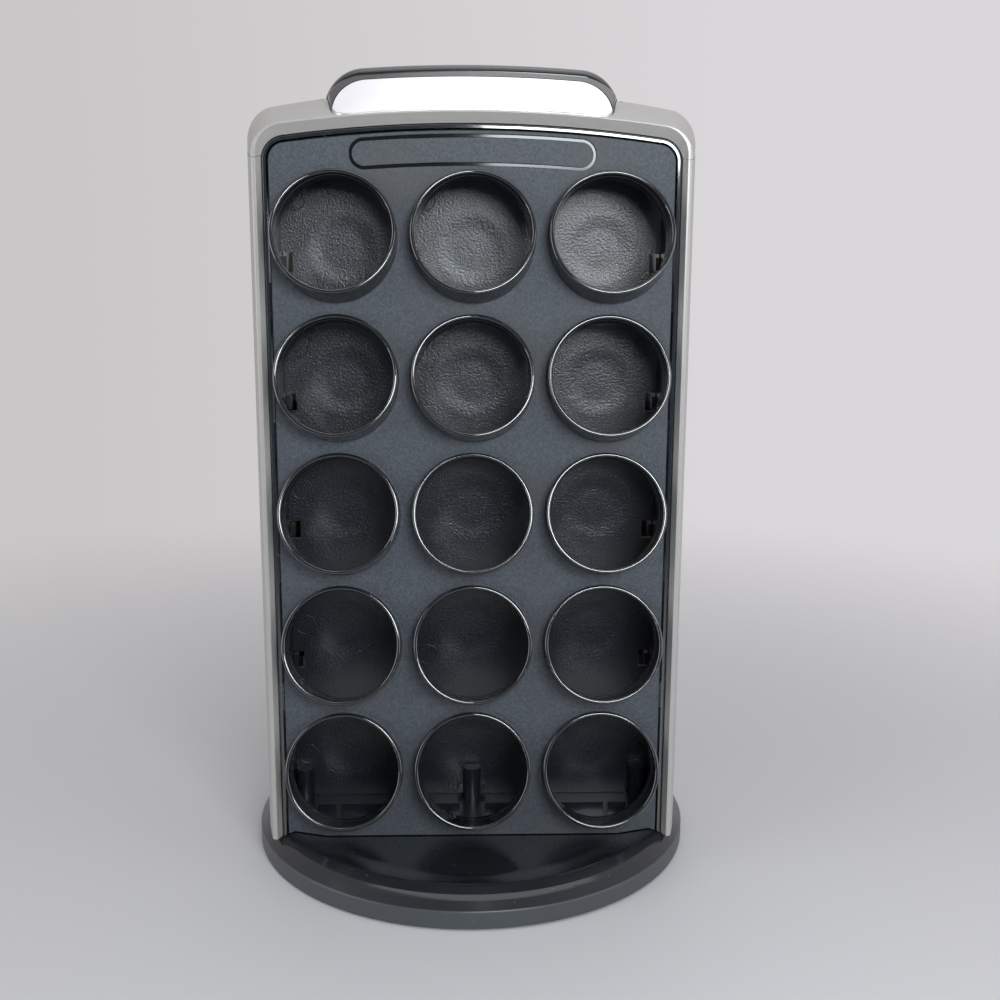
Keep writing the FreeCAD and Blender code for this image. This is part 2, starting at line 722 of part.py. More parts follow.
def roof_body(inset):
    """The domed roof as a loft of arched outlines from front to back."""
    radius, centre = side_arc()
    sections = []
    for share in (-1.05, -0.75, -0.5, -0.32, -0.16, 0.0, 0.16, 0.32, 0.5, 0.75, 1.05):
        y = share * cover_face
        half_width = centre + math.sqrt(radius ** 2 - y ** 2) - cap_step - inset
        top, roof, corner = roof_shape(y)
        low = parting_front - blank_overrun
        sections.append(arch_wire(y, half_width, top - inset, roof - inset, corner - inset, low))
    return Part.makeLoft(sections, True, False)


def below_parting(rise):
    """Everything below the arched line where the cap meets the side shells."""
    ends = [Vector(-FAR, -cover_face, parting_front + rise), Vector(-FAR, 0, parting_middle + rise),
            Vector(-FAR, cover_face, parting_front + rise)]
    arc = Part.Arc(*ends).toShape()
    low = [Vector(-FAR, cover_face, -FAR), Vector(-FAR, -cover_face, -FAR)]
    corners = [ends[2], low[0], low[1], ends[0]]
    sides = [Part.LineSegment(a, b).toShape() for a, b in zip(corners, corners[1:])]
    return Part.Face(Part.Wire([arc] + sides)).extrude(Vector(2 * FAR, 0, 0))


def frame_opening():
    """The arched opening that the core frame stands in, with the slopes that lead in to it."""
    inner = panel_outline(panel_gap + frame_wall + part_gap)
    outer = (cover_front_half_width - front_land, ridge_top - front_land, ridge_roof_radius - front_land,
             ridge_corner - front_land, 0.0)
    beyond = 1 + 1 / cover_stand
    front = [low + (high - low) * beyond for low, high in zip(inner, outer)]
    slope = Part.makeLoft([arch_wire(-panel_face, *inner), arch_wire(-cover_face - 1, *front)], True, True)
    return arch_prism(-FAR, FAR, *inner).multiFuse([slope, mirror_y(slope)])


def top_cap():
    """The domed cap: a thin shell that is open below, with four screw posts."""
    height = (parting_front - blank_overrun, FAR)
    outer = plan_prism(0.0, *height).common(roof_body(0.0))
    ridge = [edge for edge in outer.Edges if edge.BoundBox.YLength < 1e-3
             and abs(abs(edge.BoundBox.YMin) - cover_face) < 1e-3 and edge.BoundBox.ZMin > parting_front]
    outer = outer.makeFillet(ridge_round, ridge)
    inside = block((-FAR, FAR), (cap_wall - panel_face, panel_face - cap_wall), (-FAR, FAR))
    hollow = plan_prism(cap_wall, *height).common(roof_body(cap_wall)).common(inside)
    outer = outer.cut(handle_footprint().cut(roof_body(pocket_depth)))
    shell = outer.cut(frame_opening()).cut(hollow)
    posts = [cylinder(screw_boss, rib_height_on_partition, FAR, x, y) for x, y in cap_screw_places]
    core = arch_prism(-FAR, FAR, *panel_outline(panel_gap + frame_wall))
    posts = posts[0].multiFuse(posts[1:]).common(outer).cut(core)
    pilots = [cylinder(screw_radius, rib_height_on_partition, roof_height(x, y) - tip_gap, x, y)
              for x, y in cap_screw_places]
    through = [cylinder(screw_radius + seat_gap, panel_top, FAR, x, y)
               for x, y in spine_screw_places + bezel_screw_places]
    body = shell.multiFuse([posts]).removeSplitter()
    body = body.cut(pilots[0].multiFuse(pilots[1:] + through))
    return body.cut(below_parting(parting_gap))


def cap_screws():
    """Up through the arched top wall of the core frame into the cap."""
    pieces = []
    for x, y in cap_screw_places:
        wall_low = panel_top + panel_gap - (panel_roof_radius - math.sqrt(panel_roof_radius ** 2 - x ** 2))
        pieces.append(screw(x, y, wall_low - head_room, screw_reach + 1))
    return Part.makeCompound(pieces)


def side_shell():
    """The right cover: curved wall, webs at the hooks and four hooks that reach into the core frame."""
    right = block((0, FAR), (-FAR, FAR), (-FAR, FAR))
    outer = plan_prism(0.0, tower_bottom, parting_middle + 1).common(right).cut(frame_opening())
    lip = panel_face - shell_lip
    hollow = plan_prism(cover_wall, tower_bottom - 1, FAR).common(block((0, FAR), (-lip, lip), (-FAR, FAR)))
    wall = outer.cut(hollow)
    webs = [tower_bottom + 2 * web_wall] + [height - web_wall for height in hook_heights]
    webs.append(parting_front - top_web_drop)
    pieces = [outer.common(block((0, FAR), (-FAR, FAR), (z - web_wall / 2, z + web_wall / 2))) for z in webs]
    for height in hook_heights:
        catch = band_half_width - seat_gap
        across = (-hook_width / 2, hook_width / 2)
        arm_low = height - 1.5 * web_wall
        arm = block((catch - web_wall, opening_half_width + shell_lip), across, (arm_low, arm_low + web_wall))
        barb = block((catch - web_wall, catch), across, (arm_low, height + hook_rise))
        pieces += [arm, barb]
    body = wall.multiFuse(pieces).removeSplitter()
    return clear_of_base(body.common(below_parting(0.0)))


# Handle

def spine_body(inset):
    """The rounded band across the top of the handle, as a loft from front to back."""
    sections = []
    for share in (-1.0, -0.92, -0.7, -0.35, 0.0, 0.35, 0.7, 0.92, 1.0):
        y = share * (spine_half_depth - inset)
        swell = math.sqrt(1 - share ** 2)
        half_width = spine_half_width + spine_swell * swell - inset
        top = spine_top + spine_crown * swell - inset
        corner = spine_corner + spine_swell * swell / 2 - inset
        sections.append(arch_wire(y, half_width, top, spine_roof_radius, corner, ridge_top - blank_overrun))
    return Part.makeLoft(sections, True, False)


def handle_spine():
    outer = spine_body(0.0)
    inner = spine_body(spine_wall)
    bosses = [cylinder(screw_boss, ridge_top, FAR, x, y) for x, y in spine_screw_places]
    shell = outer.cut(inner).multiFuse([bosses[0].multiFuse(bosses[1:]).common(outer)])
    pilots = [cylinder(screw_radius, ridge_top, spine_screw_seat(x, y) + spine_screw_reach + tip_gap, x, y)
              for x, y in spine_screw_places]
    return shell.cut(pilots[0].multiFuse(pilots[1:])).cut(roof_body(pocket_depth))


def below_slope(drop):
    """Everything below the arched face that the silver plate leans on, lowered by a drop."""
    top = ridge_top - drop
    low = top - blank_overrun
    outline = arch_wire(-cover_face, opening_half_width, top, handle_roof_radius, panel_corner, low)
    rise = Vector(0, cover_face - spine_half_depth, spine_top - ridge_top)
    return Part.Face(outline).extrude(rise)


def steep(thickness):
    """How far down a face parallel to the slope lies, measured upright."""
    run = cover_face - spine_half_depth
    rise = spine_top - ridge_top
    return thickness * math.sqrt(run ** 2 + rise ** 2) / run


def handle_plan(front, back, corner, grow):
    """A plan that runs from the ridge to the spine, with round front corners, grown by a gap."""
    y_front = -cover_face + front_strip - grow
    y_back = -spine_half_depth - part_gap
    base = [(-front - grow, y_front), (front + grow, y_front), (back + grow, y_back), (-back - grow, y_back)]
    points = [Vector(x, y, parting_front) for x, y in base]
    height = spine_top + spine_crown - parting_front
    prism = Part.Face(Part.makePolygon(points + points[:1])).extrude(Vector(0, 0, height))
    upright = [edge for edge in prism.Edges if edge.BoundBox.ZLength > height - 1
               and abs(edge.BoundBox.YMax - y_front) < 1e-3]
    return prism.makeFillet(corner + grow, upright)


def bezel_plan(grow):
    return handle_plan(bezel_front_half_width, spine_half_width, bezel_corner, grow)


def plate_plan(grow):
    return handle_plan(plate_half_width, plate_half_width, plate_corner, grow)


def handle_footprint():
    """What the handle takes up from above, with a gap round it."""
    front = bezel_plan(seat_gap).fuse(plate_plan(seat_gap))
    reach = spine_half_width + spine_swell + seat_gap
    deep = spine_half_depth + part_gap + seat_gap
    middle = block((-reach, reach), (-deep, deep), (parting_front, FAR))
    return front.multiFuse([mirror_y(front), middle])


def bezel_envelope(inset):
    """The space of the front bezel: arched outline, tapering plan, and the leaning top."""
    arch = arch_prism(-FAR, -spine_half_depth, spine_half_width - inset, spine_top - inset, spine_roof_radius,
                      spine_corner - inset, parting_front)
    return arch.common(bezel_plan(-inset)).common(below_slope(steep(inset)))


def plate_space(grow):
    """The space of the silver plate, grown by a gap. It is as deep as the plate is thick."""
    top = spine_top - plate_drop
    arch = arch_prism(-FAR, -spine_half_depth - part_gap, plate_half_width + grow, top + grow,
                      spine_roof_radius, plate_bend + grow, parting_front)
    return arch.common(plate_plan(grow)).common(below_slope(0.0)).cut(below_slope(steep(plate_wall)))


def leaning_edges(shape):
    """The edges round the face that leans back to the spine."""
    return max(shape.Faces, key=lambda face: face.Area * face.normalAt(0, 0).z).Edges


def front_handle_plate():
    plate = plate_space(0.0)
    return plate.makeChamfer(plate_edge, leaning_edges(plate)).cut(roof_body(pocket_depth))


def front_handle_bezel():
    """A hollow wedge that is open below, with a recess for the plate and two screw bosses."""
    outer = bezel_envelope(0.0)
    outer = outer.makeChamfer(bezel_edge, leaning_edges(outer))
    inner = bezel_envelope(bezel_wall + plate_wall)
    places = [(x, y) for x, y in bezel_screw_places if y < 0]
    bosses = [cylinder(screw_boss, parting_front, FAR, x, y) for x, y in places]
    body = outer.cut(inner).multiFuse([bosses[0].multiFuse(bosses[1:]).common(outer)])
    tip = bezel_screw_reach + tip_gap
    pilots = [cylinder(screw_radius, parting_front, bezel_screw_seat(x, y) + tip, x, y) for x, y in places]
    body = body.cut(pilots[0].multiFuse(pilots[1:])).cut(plate_space(seat_gap))
    return body.cut(roof_body(pocket_depth))


def roof_height(x, y):
    """Height of the cap's inner face over a point."""
    top, roof, corner = roof_shape(y)
    return top - cap_wall - (roof - math.sqrt(roof ** 2 - x ** 2))


def spine_screw_seat(x, y):
    return roof_height(x, y) - dome_room


def bezel_screw_seat(x, y):
    """Lower by what the dome falls across the head of the screw."""
    return roof_height(x, abs(y) + head_radius) - dome_room / 2


def spine_screws():
    return Part.makeCompound([screw(x, y, spine_screw_seat(x, y), spine_screw_reach)
                              for x, y in spine_screw_places])


def bezel_screws():
    return Part.makeCompound([screw(x, y, bezel_screw_seat(x, y), bezel_screw_reach)
                              for x, y in bezel_screw_places])


def main():
    save("base_disc", base_disc())
    save("base_underplate", base_underplate())
    save("underplate_screws", underplate_screws())
    save("foot_pads", foot_pads())
    save("lower_race", lower_race())
    save("upper_race", upper_race())
    save("bearing_balls", bearing_balls())
    save("ball_cage", ball_cage())
    save("hub_bush", hub_bush())
    save("retaining_washer", retaining_washer())
    save("retaining_ring", retaining_ring())
    save("tower_floor", tower_floor())
    save("floor_screws", floor_screws())
    save("core_frame", core_frame())
    panel = front_panel()
    save("front_panel", panel)
    save("rear_panel", mirror_y(panel))
    save("top_cap", top_cap())
    save("cap_screws", cap_screws())
    shell = side_shell()
    save("right_side_shell", shell)
    save("left_side_shell", mirror_x(shell))
    save("handle_spine", handle_spine())
    save("spine_screws", spine_screws())
    bezel = front_handle_bezel()
    save("front_handle_bezel", bezel)
    save("rear_handle_bezel", mirror_y(bezel))
    plate = front_handle_plate()
    save("front_handle_plate", plate)
    save("rear_handle_plate", mirror_y(plate))
    save("bezel_screws", bezel_screws())


if __name__ == "__main__":
    main()
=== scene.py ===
# %% [markdown]
# # A coffee pod carousel, dressed for its portrait
#
# The carousel is a tower with fifteen tilted collars on each of two faces, and it turns on a
# round base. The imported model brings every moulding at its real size. This script gives each one
# its finish, adds the small marks that the moulding tools leave, and sets up a camera, a floor
# and soft light.
#
# Lengths are in metres, +Z is up, the front faces -Y, and the origin is under the middle of the
# base.

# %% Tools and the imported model
import math

import bmesh
import bpy
from mathutils import Matrix, Vector


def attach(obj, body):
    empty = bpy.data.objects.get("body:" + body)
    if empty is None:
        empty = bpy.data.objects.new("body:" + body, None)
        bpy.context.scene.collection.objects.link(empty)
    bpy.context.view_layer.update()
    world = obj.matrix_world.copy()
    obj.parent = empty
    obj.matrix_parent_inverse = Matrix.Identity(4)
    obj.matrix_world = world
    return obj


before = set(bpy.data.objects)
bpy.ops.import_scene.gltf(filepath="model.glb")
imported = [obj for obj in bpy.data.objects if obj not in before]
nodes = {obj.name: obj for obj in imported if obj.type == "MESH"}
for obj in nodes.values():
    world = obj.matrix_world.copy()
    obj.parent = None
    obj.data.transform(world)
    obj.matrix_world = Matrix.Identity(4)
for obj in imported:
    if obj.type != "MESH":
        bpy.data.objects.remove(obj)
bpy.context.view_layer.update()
scene = bpy.context.scene
mm = 0.001

# %% [markdown]
# ## Camera
#
# A photograph is matched by a camera at the same spot with the same lens. The spot could be found
# by trial, but the openings stand on a regular grid, so their places in the picture fix it: about
# 58 cm in front of the carousel, a little above its middle, and looking slightly down. A new
# camera looks straight down, so it is first turned level.

# %% Camera at the photograph's angle
lens_place = Vector((-4.86, -580.56, 282.4)) * mm
focal_length = 45.92
quarter_turn = math.radians(90)
look_down = math.radians(11.818)
turn_right = math.radians(1.768)
roll = math.radians(0.277)

camera = bpy.data.objects.new("camera", bpy.data.cameras.new("camera"))
scene.collection.objects.link(camera)
camera.data.lens = focal_length
camera.data.clip_start = 10 * mm
camera.matrix_world = (
    Matrix.Translation(lens_place)
    @ Matrix.Rotation(-turn_right, 4, "Z")
    @ Matrix.Rotation(quarter_turn - look_down, 4, "X")
    @ Matrix.Rotation(roll, 4, "Z")
)
scene.camera = camera
print("camera stands", round(lens_place.length, 3), "m from the foot of the carousel")

# %% [markdown]
# ## Light
#
# The picture was taken indoors. The bright line round each lip tells where the light comes from:
# a lip shines all round only where its axis lies halfway between the lens and the lamp, and the
# lower lips do. So the main lamp, cool as daylight, hangs near the camera, a little higher and to
# the right. It could be a point, but a small soft box gives the soft shadows of a window. A
# ceiling and two side walls fill the rest, and their power is kept low, so that a colour looks
# about as it is written.

# %% Soft boxes
chest = (0, 0, 0.2)
head = (0, 0, 0.3)
daylight = (0.92, 0.97, 1.0)
white = (1, 1, 1)


def soft_box(name, place, aim, size, watts, colour=white):
    """A rectangle of light that shines from its place to its aim and isn't seen itself."""
    lamp = bpy.data.lights.new(name, "AREA")
    lamp.color = colour
    lamp.shape = "RECTANGLE"
    lamp.size, lamp.size_y = size
    lamp.energy = watts
    holder = bpy.data.objects.new(name, lamp)
    scene.collection.objects.link(holder)
    holder.location = place
    holder.rotation_euler = (Vector(aim) - Vector(place)).to_track_quat("-Z", "Y").to_euler()
    holder.visible_camera = False
    print(name, "gives", watts, "W")


soft_box("window", (0.18, -0.76, 0.45), chest, (0.34, 0.22), 4.2, daylight)
soft_box("ceiling", (0.1, 0.1, 1.4), head, (1.3, 1.3), 7.0)
soft_box("left_wall", (-1.1, -0.5, 0.5), chest, (0.8, 1.0), 4.5)
soft_box("right_wall", (1.1, -0.6, 0.4), chest, (0.8, 0.8), 3.0)

# %% [markdown]
# ## Colours and nodes
#
# Colours are written as for a screen, and shaders add light, so each colour is turned to linear
# values first. Textures take a scale instead of a size, so a size in millimetres is turned into
# one. A finish is a small tree of nodes, and writing each node by hand takes many lines, so one
# function adds a node with its settings and its links.

# %% Colours, sizes and nodes


def linear(code):
    """A colour as written for screens, such as b4b2b0, as the linear values that shaders use."""
    parts = [int(code[k:k + 2], 16) / 255 for k in (0, 2, 4)]
    values = [c / 12.92 if c <= 0.04045 else ((c + 0.055) / 1.055) ** 2.4 for c in parts]
    return tuple(values) + (1.0,)


def per(size_mm):
    """The texture scale that gives features of this size in millimetres."""
    return 1000.0 / size_mm


def plug(tree, node, sockets):
    """Fill a node's sockets, each with a value, or with (node, output) for a link."""
    for key, value in sockets.items():
        if isinstance(value, tuple) and isinstance(value[0], bpy.types.Node):
            tree.links.new(value[0].outputs[value[1]], node.inputs[key])
        else:
            node.inputs[key].default_value = value


def add(tree, kind, sockets=None, **settings):
    """Add a node. Settings are its own options, and sockets are filled as plug does."""
    made = tree.nodes.new(kind)
    for key, value in settings.items():
        setattr(made, key, value)
    plug(tree, made, sockets or {})
    return made


def new_material(name):
    """A material, its tree, its Principled shader, and the object coordinates for a socket."""
    material = bpy.data.materials.new(name)
    material.use_nodes = True
    tree = material.node_tree
    tree.nodes.clear()
    shader = add(tree, "ShaderNodeBsdfPrincipled")
    add(tree, "ShaderNodeOutputMaterial", {"Surface": (shader, "BSDF")})
    place = (add(tree, "ShaderNodeTexCoord"), "Object")
    return material, tree, shader, place


def seen_directly(tree):
    """1 for what is seen straight, in a gloss or through a glass, and 0 for light on its way."""
    path = add(tree, "ShaderNodeLightPath")
    gloss = add(tree, "ShaderNodeMath",
                {0: (path, "Is Camera Ray"), 1: (path, "Is Glossy Ray")}, operation="MAXIMUM")
    glass = add(tree, "ShaderNodeMath",
                {0: (gloss, "Value"), 1: (path, "Is Transmission Ray")}, operation="MAXIMUM")
    return (glass, "Value")


# %% [markdown]
# ## Surroundings
#
# The wall behind the carousel is pale, and a bit darker on its left: that darker left is painted
# shade, for the room's light that falls from the right. It could be a sheet, but that would hide
# the object from behind, so it is the colour of the surroundings. Light Path
# keeps that colour for what is seen directly or in a reflection: the light on the object stays
# what the lamps give. A reflection that looks towards the camera's side meets a darker room, as
# behind the person who took the picture.

# %% Wall colours from left to right
# The darker colour on the left is painted shade.
wall_left = linear("c9c6c7")
wall_right = linear("dad7da")
left_end = -0.3
right_end = 0.2
fill_colour = linear("f4f6fa")
fill_strength = 0.2

world = bpy.data.worlds.new("pale_room")
world.use_nodes = True
scene.world = world
room = world.node_tree
room.nodes.clear()
look = (add(room, "ShaderNodeTexCoord"), "Generated")
way = add(room, "ShaderNodeSeparateXYZ", {"Vector": look})
rightward = add(room, "ShaderNodeMapRange",
                {"Value": (way, "X"), "From Min": left_end, "From Max": right_end})
wall = add(room, "ShaderNodeMix",
           {"Factor": (rightward, "Result"), "A": wall_left, "B": wall_right}, data_type="RGBA")
seen = add(room, "ShaderNodeBackground", {"Color": (wall, "Result"), "Strength": 1.0})
fill = add(room, "ShaderNodeBackground", {"Color": fill_colour, "Strength": fill_strength})
pale = add(room, "ShaderNodeMixShader",
           {0: seen_directly(room), 1: (fill, "Background"), 2: (seen, "Background")})

# %% The darker room in reflections
far_colour = linear("626870")
straight_back = -0.75
sideways_back = -0.05

camera_side = add(room, "ShaderNodeMapRange",
                  {"Value": (way, "Y"), "From Min": straight_back, "From Max": sideways_back,
                   "To Min": 1.0, "To Max": 0.0},
                  interpolation_type="SMOOTHSTEP")
path = add(room, "ShaderNodeLightPath")
dimmed = add(room, "ShaderNodeMath",
             {0: (camera_side, "Result"), 1: (path, "Is Glossy Ray")}, operation="MULTIPLY")
far = add(room, "ShaderNodeBackground", {"Color": far_colour, "Strength": 1.0})
whole = add(room, "ShaderNodeMixShader",
            {0: (dimmed, "Value"), 1: (pale, "Shader"), 2: (far, "Background")})
add(room, "ShaderNodeOutputWorld", {"Surface": (whole, "Shader")})
print(world.name, "has", len(room.nodes), "nodes")

# %% [markdown]
# ## Floor
#
# The carousel stands on a pale painted top, which has a soft sheen and takes its shadow. An edge
# of the top would show as a hard line, so the floor is a wide circle that clears with distance,
# until the surroundings show through it.

# %% Floor
floor_radius = 4.0

form = bmesh.new()
bmesh.ops.create_circle(form, cap_ends=True, segments=96, radius=floor_radius)
sheet = bpy.data.meshes.new("floor")
form.to_mesh(sheet)
form.free()
floor = bpy.data.objects.new("floor", sheet)
scene.collection.objects.link(floor)
print("floor is", round(floor.dimensions.x, 1), "m across")

# %% Painted top that clears with distance
clearing_starts = 130 * mm
clearing_ends = 750 * mm

floor_paint, tree, shader, place = new_material("painted_table_top")
plug(tree, shader, {"Base Color": linear("cfced1"), "Roughness": 0.6})
distance = add(tree, "ShaderNodeVectorMath", {0: place}, operation="LENGTH")
clearing = add(tree, "ShaderNodeMapRange",
               {"Value": (distance, "Value"),
                "From Min": clearing_starts, "From Max": clearing_ends},
               interpolation_type="SMOOTHSTEP")
share = add(tree, "ShaderNodeMath",
            {0: (clearing, "Result"), 1: seen_directly(tree)}, operation="MULTIPLY")
clear = add(tree, "ShaderNodeBsdfTransparent")
blend = add(tree, "ShaderNodeMixShader",
            {0: (share, "Value"), 1: (shader, "BSDF"), 2: (clear, "BSDF")})
output = next(node for node in tree.nodes if node.type == "OUTPUT_MATERIAL")
plug(tree, output, {"Surface": (blend, "Shader")})
sheet.materials.append(floor_paint)
print(floor_paint.name, "is clear from", clearing_ends, "m on")

# %% [markdown]
# ## Panel moulding
#
# The panels are injection-moulded ABS in a blue black. The tool was spark-eroded where the flat
# plate is: its fine grit scatters light, so the plastic looks slate grey there. The collars and
# the groove were polished and look near black, with thin bright lines along their edges. Two
# materials could share the mesh, but it is one moulding, so one material changes its grit, tint
# and roughness by depth. Real grit is about a tenth of a millimetre, too fine to show, so it is
# drawn coarser.
#
# The lips were buffed last and shine most. A lip lies in a plane that leans with its collar, so
# its mask measures along the axis of the collar, and repeats from row to row.

# %% Depth, grains and rows
row_pitch = 58.7 * mm


def depth_share(tree, place, near, far):
    """0 where a point's distance from the middle plane is less than near, and 1 from far on."""
    apart = add(tree, "ShaderNodeSeparateXYZ", {"Vector": place})
    depth = add(tree, "ShaderNodeMath", {0: (apart, "Y")}, operation="ABSOLUTE")
    share = add(tree, "ShaderNodeMapRange",
                {"Value": (depth, "Value"), "From Min": near, "From Max": far})
    return (share, "Result")


def eroded(tree, place, size_mm, height_mm, tints, spread, sockets):
    """Rounded grains of one size, as a bump of this height and as a tint that follows them."""
    grains = add(tree, "ShaderNodeTexNoise",
                 {"Vector": place, "Scale": per(size_mm), "Detail": 2.0, "Roughness": 0.6})
    bump = add(tree, "ShaderNodeBump",
               {"Height": (grains, "Fac"), "Distance": height_mm * mm, **sockets})
    tint = add(tree, "ShaderNodeValToRGB", {"Fac": (grains, "Fac")})
    for end, side, code in zip(tint.color_ramp.elements, (-1, 1), tints):
        end.position = 0.5 + side * spread
        end.color = linear(code)
    return (bump, "Normal"), (tint, "Color")


def above_row(tree, height, first_row):
    """The height above the nearest row, for rows that start at first_row and repeat."""
    repeated = add(tree, "ShaderNodeMath",
                   {0: height, 1: first_row + row_pitch / 2, 2: first_row - row_pitch / 2},
                   operation="WRAP")
    above = add(tree, "ShaderNodeMath",
                {0: (repeated, "Value"), 1: first_row}, operation="SUBTRACT")
    return (above, "Value")


# %% Where the panel is polished
plate_depth = 41.0 * mm
collar_from = plate_depth + 0.3 * mm
collar_fully = plate_depth + 1.2 * mm
groove_from = plate_depth - 0.03 * mm
groove_fully = plate_depth - 0.2 * mm

panel_abs, tree, shader, place = new_material("spark_eroded_abs_with_polished_collars")
collars = depth_share(tree, place, collar_from, collar_fully)
groove = depth_share(tree, place, groove_from, groove_fully)
polish = add(tree, "ShaderNodeMath", {0: collars, 1: groove}, operation="MAXIMUM")
matt = add(tree, "ShaderNodeMath", {0: 1.0, 1: (polish, "Value")}, operation="SUBTRACT")

# %% The buffed lip of every collar
lowest_row = 48.4 * mm
crest_depth = 50.9 * mm
collar_tilt = math.radians(16)
buffed_from = -1.3 * mm
buffed_fully = -0.8 * mm
buffed = {"Coat Roughness": 0.05, "Coat IOR": 1.7}

apart = add(tree, "ShaderNodeSeparateXYZ", {"Vector": place})
depth = add(tree, "ShaderNodeMath", {0: (apart, "Y")}, operation="ABSOLUTE")
outward = add(tree, "ShaderNodeMath", {0: (depth, "Value"), 1: crest_depth}, operation="SUBTRACT")
local = above_row(tree, (apart, "Z"), lowest_row)
upward = add(tree, "ShaderNodeMath",
             {0: local, 1: math.sin(collar_tilt)}, operation="MULTIPLY")
along = add(tree, "ShaderNodeMath",
            {0: (outward, "Value"), 1: math.cos(collar_tilt), 2: (upward, "Value")},
            operation="MULTIPLY_ADD")
lip = add(tree, "ShaderNodeMapRange",
          {"Value": (along, "Value"), "From Min": buffed_from, "From Max": buffed_fully})
plug(tree, shader, {"Coat Weight": (lip, "Result"), **buffed})

# %% Grit, smears and colour of the panel
panel_grain = 0.9
smear_size = 32.0
smear_colour = linear("4b4b4c")
polished_colour = linear("15181b")

bump, tint = eroded(tree, place, size_mm=panel_grain, height_mm=0.13,
                    tints=("3d434a", "4d535b"), spread=0.12,
                    sockets={"Strength": (matt, "Value")})
smears = add(tree, "ShaderNodeTexNoise",
             {"Vector": place, "Scale": per(smear_size), "Detail": 4.0})
smear = add(tree, "ShaderNodeMapRange",
            {"Value": (smears, "Fac"), "From Min": 0.52, "From Max": 0.7, "To Max": 0.5})
handled = add(tree, "ShaderNodeMix",
              {"Factor": (smear, "Result"), "A": tint, "B": smear_colour},
              data_type="RGBA")
colour = add(tree, "ShaderNodeMix",
             {"Factor": (polish, "Value"), "A": (handled, "Result"), "B": polished_colour},
             data_type="RGBA")
gloss = add(tree, "ShaderNodeMapRange",
            {"Value": (polish, "Value"), "To Min": 0.6, "To Max": 0.08})
plug(tree, shader, {
    "Base Color": (colour, "Result"),
    "Roughness": (gloss, "Result"),
    "Normal": bump,
})
print(panel_abs.name, "has grains of", panel_grain, "mm")

# %% [markdown]
# ## Core moulding
#
# The partition behind the pods is spark-eroded more coarsely than the panel, so its near-black
# plastic glitters. It takes most of its light from gloss, so it grows darker towards the foot,
# where the mirrored view looks into the dark. Its dishes are shallow, and their edges were
# blended by hand in the tool: the solid has a plain lens there, and a broad bump fills it up and
# draws the blended dish. The ledge at the top and the side walls are smooth, and the rim round
# the panel is polished.

# %% Where the core is smooth
wall_from = 6.0 * mm
wall_fully = 12.0 * mm
ledge_height = 303.5 * mm
rim_from = 37.0 * mm
rim_fully = 39.0 * mm

core_abs, tree, shader, place = new_material("coarse_spark_eroded_abs")
walls = depth_share(tree, place, wall_from, wall_fully)
apart = add(tree, "ShaderNodeSeparateXYZ", {"Vector": place})
ledge = add(tree, "ShaderNodeMath",
            {0: (apart, "Z"), 1: ledge_height}, operation="GREATER_THAN")
smooth = add(tree, "ShaderNodeMath",
             {0: walls, 1: (ledge, "Value")}, operation="MAXIMUM")
coarse = add(tree, "ShaderNodeMath", {0: 1.0, 1: (smooth, "Value")}, operation="SUBTRACT")
rim = depth_share(tree, place, rim_from, rim_fully)
plug(tree, shader, {"Coat Weight": rim, **buffed})

# %% Dishes with blended edges
column_pitch = 57.2 * mm
dish_radius = 17.0 * mm
lowest_dish = 40.3 * mm
lens_fill = 1.2
blended_depth = 0.45
blended_width = 9.0 * mm
partition_from = 2.2 * mm
partition_fully = 1.9 * mm

across = add(tree, "ShaderNodeMath",
             {0: (apart, "X"), 1: column_pitch / 2, 2: -column_pitch / 2}, operation="WRAP")
upward = above_row(tree, (apart, "Z"), lowest_dish)
from_dish = add(tree, "ShaderNodeCombineXYZ", {"X": (across, "Value"), "Z": upward})
reach = add(tree, "ShaderNodeVectorMath", {0: (from_dish, "Vector")}, operation="LENGTH")
share = add(tree, "ShaderNodeMath", {0: (reach, "Value"), 1: dish_radius}, operation="DIVIDE")
square = add(tree, "ShaderNodeMath", {0: (share, "Value"), 1: 2.0}, operation="POWER")
lens = add(tree, "ShaderNodeMath",
           {0: 1.0, 1: (square, "Value")}, operation="SUBTRACT", use_clamp=True)
filled = add(tree, "ShaderNodeMath", {0: (lens, "Value"), 1: lens_fill}, operation="MULTIPLY")
slope = add(tree, "ShaderNodeMapRange",
            {"Value": (reach, "Value"),
             "From Min": dish_radius, "From Max": dish_radius - blended_width},
            interpolation_type="SMOOTHSTEP")
soft = add(tree, "ShaderNodeMath",
           {0: (slope, "Result"), 1: -blended_depth, 2: (filled, "Value")},
           operation="MULTIPLY_ADD")
on_partition = depth_share(tree, place, partition_from, partition_fully)
blended = add(tree, "ShaderNodeBump",
              {"Height": (soft, "Value"), "Distance": mm, "Strength": on_partition})

# %% Grit and colour of the core
core_grain = 0.85

bump, tint = eroded(tree, place, size_mm=core_grain, height_mm=0.2,
                    tints=("0b0d10", "202730"), spread=0.14,
                    sockets={"Strength": (coarse, "Value"), "Normal": (blended, "Normal")})
gloss = add(tree, "ShaderNodeMapRange",
            {"Value": rim, "To Min": 0.31, "To Max": 0.08})
plug(tree, shader, {
    "Base Color": tint,
    "Roughness": (gloss, "Result"),
    "Specular IOR Level": 0.9,
    "Normal": bump,
})
print(core_abs.name, "has grains of", core_grain, "mm")

# %% [markdown]
# ## Silver covers
#
# The cap and the side covers are sprayed with silver lacquer: fine aluminium flakes in a clear
# binder, which look grey and even rather than like a mirror. A metal could stand for it, but most
# of its light is diffuse, so it is a plastic with a share of metal. The flakes are drawn far
# coarser than real ones, so that they show. The spray reaches the outside only: the hooks that
# show through the windows of the core stay black, as moulded.

# %% Silver lacquer
hook_side = 86.0 * mm
shoulder_height = 300 * mm
flake_size = 0.35
metal_share = 0.3
moulded_black = linear("16181b")
lacquer_silver = linear("b2b0ad")

